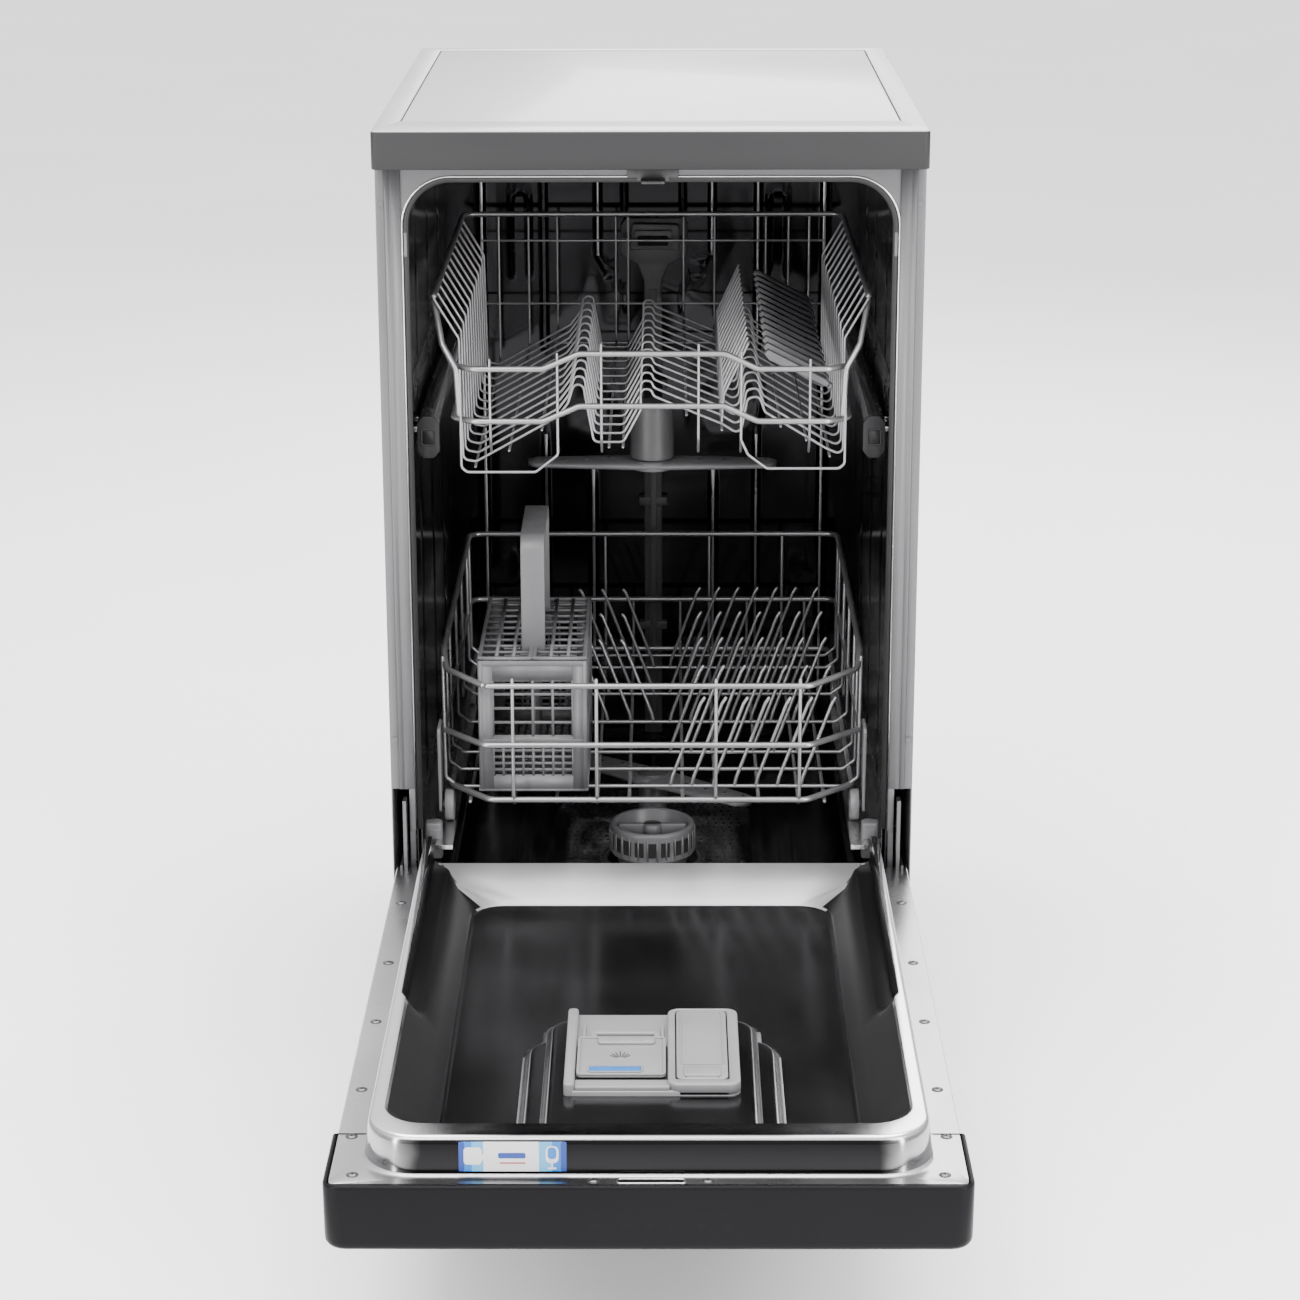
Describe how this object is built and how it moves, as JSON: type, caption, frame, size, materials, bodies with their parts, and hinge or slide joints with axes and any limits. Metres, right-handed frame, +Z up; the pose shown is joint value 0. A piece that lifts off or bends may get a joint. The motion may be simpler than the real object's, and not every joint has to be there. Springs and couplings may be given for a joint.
{
  "type": "slimline dishwasher",
  "caption": "Slimline dishwasher with its drop-down door open: steel tub, two sliding wire racks, spray arms, cutlery basket, dispenser, worktop lid and levelling feet.",
  "frame": {"origin": "centre of the whole outline at floor level, door open: on the mid-plane, under the worktop's front edge", "axes": "+X to the right seen from the front, +Y from the front to the back, +Z up"},
  "size_m": [0.45, 1.17, 0.85],
  "materials": {
    "white_lacquer": "satin moulded, pale grey-white",
    "grey_lacquer": "satin dark grey paint",
    "silver_paint": "silver-grey satin paint",
    "zinc_sheet": "plain zinc-coated sheet",
    "stainless": "polished stainless sheet",
    "black_plastic": "matt black",
    "dark_fascia": "dark glossy control panel",
    "grey_plastic": "light grey moulded",
    "rack_coat": "grey nylon-coated wire",
    "dark_grey_plastic": "dark grey moulded",
    "seal_rubber": "soft black",
    "screw_steel": "bright plated",
    "blue_plastic": "translucent blue-grey",
    "spring_steel": "oiled steel"
  },
  "bodies": {
    "cabinet": {"worktop_frame": "white_lacquer", "worktop_panel": "white_lacquer", "side_panel_left": "silver_paint", "side_panel_right": "silver_paint", "rear_panel": "zinc_sheet", "base_tray": "dark_grey_plastic", "plinth": "black_plastic", "rear_feet": "black_plastic", "tub_wrap": "stainless", "tub_back": "stainless", "tub_floor": "stainless", "tub_front_frame": "stainless", "front_trims": "grey_plastic", "door_gasket": "seal_rubber", "door_seal_lower": "seal_rubber", "door_catch": "grey_plastic", "hinge_brackets": "zinc_sheet", "lower_tracks": "stainless", "upper_wheel_axles": "screw_steel", "feed_duct": "dark_grey_plastic", "sump": "dark_grey_plastic", "filter_plate": "stainless", "lower_spray_hub": "dark_grey_plastic", "circulation_pump": "black_plastic", "drain_pump": "black_plastic", "water_softener": "grey_plastic", "inlet_valve": "grey_plastic", "drain_spigot": "black_plastic", "cabinet_screws": "screw_steel", "door_springs": "spring_steel"},
    "foot_left": {"front_foot_left": "black_plastic"},
    "foot_right": {"front_foot_right": "black_plastic"},
    "door": {"door_outer_panel": "grey_lacquer", "door_liner": "stainless", "control_fascia": "dark_fascia", "control_board": "dark_grey_plastic", "hinge_arms": "zinc_sheet", "dispenser_body": "grey_plastic", "door_screws": "screw_steel"},
    "detergent_lid": {"detergent_lid": "grey_plastic"},
    "rinse_cap": {"rinse_cap": "blue_plastic"},
    "latch_hook": {"latch_hook": "grey_plastic"},
    "filter_cup": {"filter_cup": "dark_grey_plastic"},
    "salt_cap": {"salt_cap": "grey_plastic"},
    "lower_arm": {"lower_spray_arm": "dark_grey_plastic"},
    "upper_rack": {"upper_rack_basket": "rack_coat", "upper_rack_rails": "stainless", "rail_end_caps": "grey_plastic", "upper_feed_tube": "dark_grey_plastic"},
    "upper_arm": {"upper_spray_arm": "dark_grey_plastic"},
    "cup_shelf": {"cup_shelf": "grey_plastic"},
    "upper_wheels_front": {"upper_wheels_front": "grey_plastic"},
    "upper_wheels_rear": {"upper_wheels_rear": "grey_plastic"},
    "lower_rack": {"lower_rack_basket": "rack_coat", "lower_wheel_brackets": "grey_plastic"},
    "lower_wheels_front": {"lower_wheels_front": "grey_plastic"},
    "lower_wheels_rear": {"lower_wheels_rear": "grey_plastic"},
    "cutlery_basket": {"cutlery_basket": "grey_plastic"},
    "basket_lid_left": {"basket_lid_left": "grey_plastic"},
    "basket_lid_right": {"basket_lid_right": "grey_plastic"}
  },
  "joints": [
    {"name": "door_hinge", "type": "hinge", "parent": "cabinet", "child": "door", "pos_m": [0, 0.025, 0.205], "axis": [1, 0, 0], "range_deg": [-90, 0]},
    {"name": "front_foot_left_thread", "type": "slide", "parent": "cabinet", "child": "foot_left", "axis": [0, 0, 1], "range_m": [-0.02, 0]},
    {"name": "front_foot_right_thread", "type": "slide", "parent": "cabinet", "child": "foot_right", "axis": [0, 0, 1], "range_m": [-0.02, 0]},
    {"name": "detergent_lid_slide", "type": "slide", "parent": "door", "child": "detergent_lid", "axis": [0, 1, 0], "range_m": [0, 0.042]},
    {"name": "rinse_cap_flap", "type": "hinge", "parent": "door", "child": "rinse_cap", "pos_m": [0.039, -0.297, 0.214], "axis": [1, 0, 0], "range_deg": [-90, 0]},
    {"name": "latch_hook_pivot", "type": "hinge", "parent": "door", "child": "latch_hook", "pos_m": [0.002, -0.5655, 0.187], "axis": [1, 0, 0], "range_deg": [0, 12]},
    {"name": "filter_cup_twist", "type": "hinge", "parent": "cabinet", "child": "filter_cup", "pos_m": [0, 0.2, 0.15], "axis": [0, 0, 1], "range_deg": [0, 60]},
    {"name": "salt_cap_turn", "type": "hinge", "parent": "cabinet", "child": "salt_cap", "pos_m": [-0.12, 0.43, 0.15], "axis": [0, 0, 1], "range_deg": [0, 360]},
    {"name": "lower_arm_spin", "type": "hinge", "parent": "cabinet", "child": "lower_arm", "pos_m": [0, 0.29, 0.198], "axis": [0, 0, 1], "continuous": true},
    {"name": "upper_rack_slide", "type": "slide", "parent": "cabinet", "child": "upper_rack", "axis": [0, -1, 0], "range_m": [0, 0.4]},
    {"name": "upper_arm_spin", "type": "hinge", "parent": "upper_rack", "child": "upper_arm", "pos_m": [0, 0.29, 0.505], "axis": [0, 0, 1], "continuous": true},
    {"name": "cup_shelf_fold", "type": "hinge", "parent": "upper_rack", "child": "cup_shelf", "pos_m": [0.152, 0.29, 0.617], "axis": [0, 1, 0], "range_deg": [0, 60]},
    {"name": "upper_wheels_front_roll", "type": "hinge", "parent": "cabinet", "child": "upper_wheels_front", "pos_m": [0, 0.09, 0.584], "axis": [1, 0, 0], "range_deg": [0, 2000]},
    {"name": "upper_wheels_rear_roll", "type": "hinge", "parent": "cabinet", "child": "upper_wheels_rear", "pos_m": [0, 0.128, 0.584], "axis": [1, 0, 0], "range_deg": [0, 2000]},
    {"name": "lower_rack_slide", "type": "slide", "parent": "cabinet", "child": "lower_rack", "axis": [0, -1, 0], "range_m": [0, 0.41]},
    {"name": "lower_wheels_front_roll", "type": "hinge", "parent": "lower_rack", "child": "lower_wheels_front", "pos_m": [0, 0.11, 0.2365], "axis": [1, 0, 0], "range_deg": [0, 1690]},
    {"name": "lower_wheels_rear_roll", "type": "hinge", "parent": "lower_rack", "child": "lower_wheels_rear", "pos_m": [0, 0.44, 0.2365], "axis": [1, 0, 0], "range_deg": [0, 1690]},
    {"name": "cutlery_basket_lift", "type": "slide", "parent": "lower_rack", "child": "cutlery_basket", "axis": [0, 0, 1], "range_m": [0, 0.012]},
    {"name": "basket_lid_left_hinge", "type": "hinge", "parent": "cutlery_basket", "child": "basket_lid_left", "pos_m": [-0.151, 0.171, 0.3809], "axis": [0, -1, 0], "range_deg": [0, 80]},
    {"name": "basket_lid_right_hinge", "type": "hinge", "parent": "cutlery_basket", "child": "basket_lid_right", "pos_m": [-0.057, 0.171, 0.3809], "axis": [0, 1, 0], "range_deg": [0, 80]}
  ],
  "couplings": [
    {"joint": "upper_wheels_front_roll", "follows": "upper_rack_slide", "rad_per_m": 86.957},
    {"joint": "upper_wheels_rear_roll", "follows": "upper_rack_slide", "rad_per_m": 86.957},
    {"joint": "lower_wheels_front_roll", "follows": "lower_rack_slide", "rad_per_m": 71.429},
    {"joint": "lower_wheels_rear_roll", "follows": "lower_rack_slide", "rad_per_m": 71.429}
  ]
}
